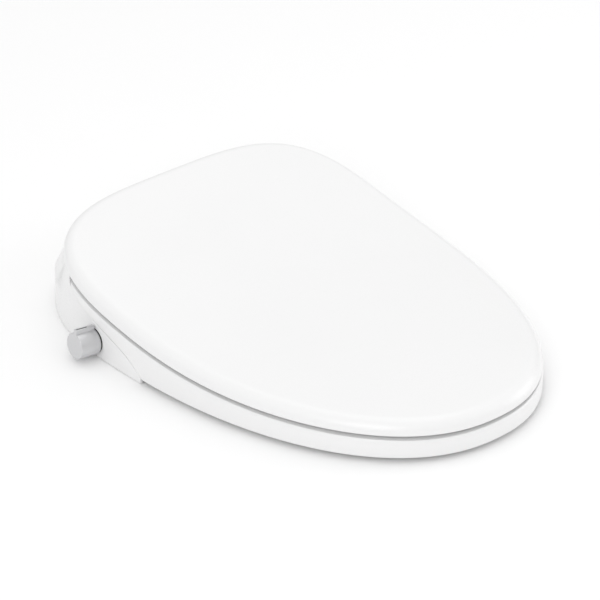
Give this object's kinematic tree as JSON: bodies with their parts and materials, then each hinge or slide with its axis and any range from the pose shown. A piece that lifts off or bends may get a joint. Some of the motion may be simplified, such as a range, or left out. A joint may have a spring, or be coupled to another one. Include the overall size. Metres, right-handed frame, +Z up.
{
  "type": "electric bidet seat",
  "caption": "White bidet seat: soft-close lid over a heated seat ring on a rear housing with a side control knob and sliding spray wands.",
  "frame": {"origin": "midway between the two bolt slots, on the plane of the bowl rim that the seat rests on", "axes": "+Y towards the rear of the seat, -Y towards its front edge, +Z up, +X to the sitter's left"},
  "size_m": [0.4113, 0.5521, 0.1033],
  "materials": {
    "shell": "smooth satin-gloss white moulded plastic",
    "liner": "smooth white moulded plastic",
    "plate": "fine-grained off-white plastic",
    "knob": "satin light grey plastic",
    "stop": "soft pale grey rubber",
    "seal": "matt dark rubber",
    "pad": "matt grey rubber",
    "steel": "turned stainless steel",
    "brass": "nickel-plated brass",
    "fitting": "grey-blue acetal",
    "heater": "cast aluminium",
    "bush": "natural acetal",
    "damper": "black glass-filled nylon",
    "board": "green solder-masked laminate",
    "chip": "black moulded epoxy",
    "power": "plated steel can",
    "foil": "copper-coloured heating foil",
    "hose": "translucent white silicone"
  },
  "bodies": {
    "base": {"housing_wall": "shell", "top_cover": "liner", "base_plate": "plate", "nozzle_hood": "liner", "mounting_plate": "plate", "hinge_pins": "steel", "seat_damper": "damper", "lid_damper": "damper", "knob_seal": "seal", "control_valve": "fitting", "inlet_connector": "brass", "inlet_solenoid": "fitting", "water_heater": "heater", "water_manifold": "fitting", "internal_hoses": "hose", "control_board": "board", "board_components": "chip", "power_module": "power", "power_cord_gland": "plate", "nozzle_cradle": "plate", "rear_wand_barrel": "fitting", "front_wand_barrel": "fitting", "rear_return_spring": "steel", "front_return_spring": "steel", "release_spring": "steel", "case_screws": "steel", "base_pads": "pad"},
    "seat": {"seat_top_shell": "shell", "seat_base_shell": "liner", "seat_heater_foil": "foil", "seat_hinge_arms": "liner", "seat_hinge_bushes": "bush", "seat_bumpers": "stop"},
    "lid": {"lid_shell": "shell", "lid_liner": "liner", "lid_hinge_arms": "liner", "lid_hinge_bushes": "bush", "lid_bumpers": "stop"},
    "knob": {"control_knob": "knob", "knob_spindle": "fitting"},
    "rear_wand_unit": {"rear_wand": "steel", "rear_wand_tip": "shell"},
    "front_wand_unit": {"front_wand": "steel", "front_wand_tip": "shell"},
    "button": {"release_button": "knob"}
  },
  "joints": [
    {"name": "seat_hinge", "type": "hinge", "parent": "base", "child": "seat", "pos_m": [0, 0.038, 0.0675], "axis": [-1, 0, 0], "range_deg": [0, 100]},
    {"name": "lid_hinge", "type": "hinge", "parent": "seat", "child": "lid", "pos_m": [0, 0.038, 0.0675], "axis": [1, 0, 0], "range_deg": [-102, 0]},
    {"name": "knob_turn", "type": "hinge", "parent": "base", "child": "knob", "pos_m": [-0.19146, -0.07, 0.017], "axis": [-0.9948, 0.0746, 0.0698], "range_deg": [-90, 90]},
    {"name": "rear_wand_slide", "type": "slide", "parent": "base", "child": "rear_wand_unit", "axis": [0, -0.9613, -0.2756], "range_m": [0, 0.072], "stiffness_N_per_m": 10, "springref_m": -0.03, "deforming": ["rear_return_spring"]},
    {"name": "front_wand_slide", "type": "slide", "parent": "base", "child": "front_wand_unit", "axis": [0, -0.9613, -0.2756], "range_m": [0, 0.072], "stiffness_N_per_m": 10, "springref_m": -0.03, "deforming": ["front_return_spring"]},
    {"name": "button_press", "type": "slide", "parent": "base", "child": "button", "axis": [-1, 0, 0], "range_m": [0, 0.004], "stiffness_N_per_m": 400, "springref_m": -0.002, "deforming": ["release_spring"]}
  ]
}
